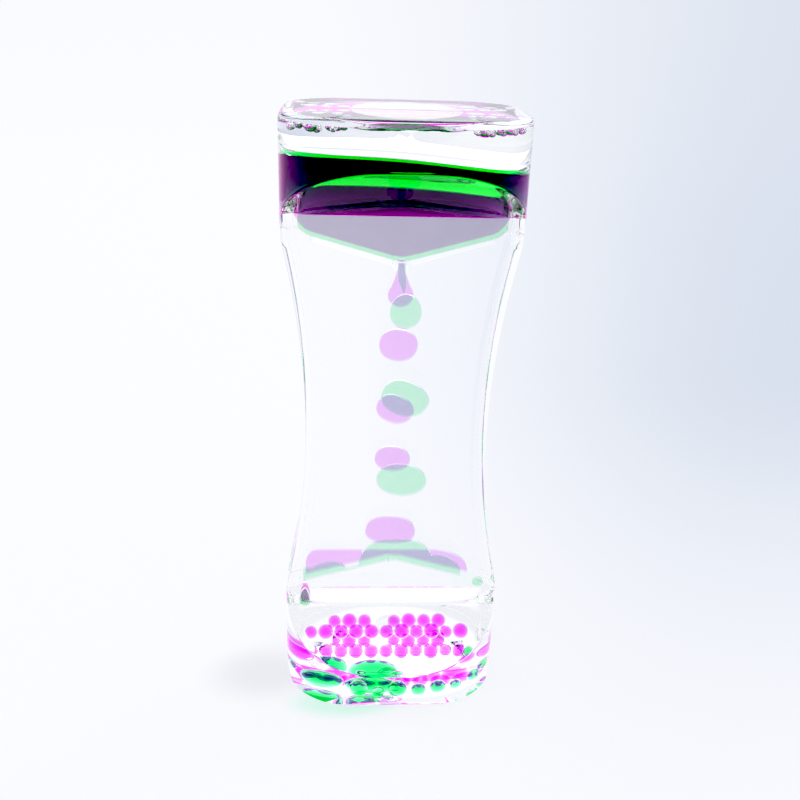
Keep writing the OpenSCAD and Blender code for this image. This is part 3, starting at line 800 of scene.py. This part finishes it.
# Air bubbles
# A little air was left in when the tank was filled. It gathers under the ceiling as a flat pocket in the
# middle and as round bubbles near the walls, and in oil it mirrors light from its sides.
air, tree, out = start_material("trapped_air")
skin = node(tree, "ShaderNodeBsdfGlass", Roughness=0.0, IOR=0.683)
place = tree.nodes.new("ShaderNodeTexCoord")
cloud = node(tree, "ShaderNodeTexNoise", Scale=500.0, Detail=1.0)
tree.links.new(place.outputs["Object"], cloud.inputs["Vector"])
tone = node(tree, "ShaderNodeMixRGB", Color1=(1, 1, 1, 1), Color2=(0.96, 0.97, 1, 1))
tree.links.new(cloud.outputs["Fac"], tone.inputs["Fac"])
tree.links.new(tone.outputs["Color"], skin.inputs["Color"])
tree.links.new(skin.outputs[0], out.inputs["Surface"])

bubble_r, pocket_t, pocket_edge = 2.1, 1.0, 0.4
pocket_half_w, pocket_half_d = inner_half_w - 12, inner_half_d - 3.85
pocket_y = plate_half_t + bead_gap
arc_steps, back_steps, tiny_count = 40, 8, 18
front_bubbles = (
    (0.6, 3, 1), (0.785, 3.6, 0.8), (0.715, 7.8, 0.6), (0.545, 7.4, 0.5), (0.875, 7, 0.4), (-0.54, 2.8, 0.8),
    (-0.695, 3.2, 0.6), (-0.825, 4, 0.6), (-0.6, 7.4, 0.6), (-0.76, 7.6, 0.7), (-0.515, 10.8, 0.4))
rear_bubbles = (
    (0.55, 2.8, 0.8), (0.715, 2.6, 0.7), (0.865, 3.6, 0.7), (0.59, 7.8, 1), (0.79, 7.6, 0.6), (-0.54, 3, 0.8),
    (-0.7, 2.6, 0.6), (-0.84, 3.8, 0.8), (-0.65, 7, 0.8), (-0.825, 8, 0.5))
for name, side, bubbles in (("front_air_bubbles", -1, front_bubbles), ("rear_air_bubbles", 1, rear_bubbles)):
    bm = bmesh.new()
    for share, off, big in bubbles:
        r = big*bubble_r
        low = 0.2 if big > 0.7 else 0.3
        ball(bm, share*inner_half_w, side*(plate_half_t + off), ceiling_z - low*r, r, r, r, ceiling=ceiling_z)
    for i in range(tiny_count):
        out_share, off_share, size_share = (i*0.37) % 1, (i*0.61) % 1, (i*0.73) % 1
        share = (0.5 + 0.42*out_share)*(1 if i % 2 else -1)
        off = 2.5 + 10*off_share*(1 - 0.75*out_share**2)
        r = 0.45 + 0.4*size_share
        z = ceiling_z - 1.3*r - 0.3
        ball(bm, share*inner_half_w, side*(plate_half_t + off), z, r, r, r, ceiling=ceiling_z)
    pocket = bmesh.new()
    steps = arc_steps + back_steps
    ring = bmesh.ops.create_circle(pocket, cap_ends=True, segments=steps, radius=1.0)["verts"]
    for i, v in enumerate(ring):
        t = math.pi*min(i, arc_steps)/arc_steps
        y = pocket_y + (pocket_half_d - plate_half_t - bead_gap)*math.sin(t)
        v.co = Vector((pocket_half_w*math.cos(t), side*y, ceiling_z - pocket_t))*mm
        if i > arc_steps:
            v.co.x = pocket_half_w*(-1 + 2*(i - arc_steps)/back_steps)*mm
    drawn = bmesh.ops.extrude_face_region(pocket, geom=pocket.faces[:])["geom"]
    bmesh.ops.translate(pocket, verts=[g for g in drawn if isinstance(g, bmesh.types.BMVert)],
                        vec=Vector((0, 0, pocket_t - film))*mm)
    rims = [e for e in pocket.edges if max(v.co.z for v in e.verts) < (ceiling_z - pocket_t + 0.1)*mm]
    bmesh.ops.bevel(pocket, geom=rims, offset=pocket_edge*mm, affect="EDGES", segments=4, profile=0.5,
                    material=-1)
    bmesh.ops.recalc_face_normals(pocket, faces=pocket.faces)
    spare = bpy.data.meshes.new("pocket")
    pocket.to_mesh(spare)
    pocket.free()
    bm.from_mesh(spare)
    bubbly = new_mesh(name + "_air", bm, air, sharp=60)
    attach(bubbly, "tank")
    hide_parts(name)
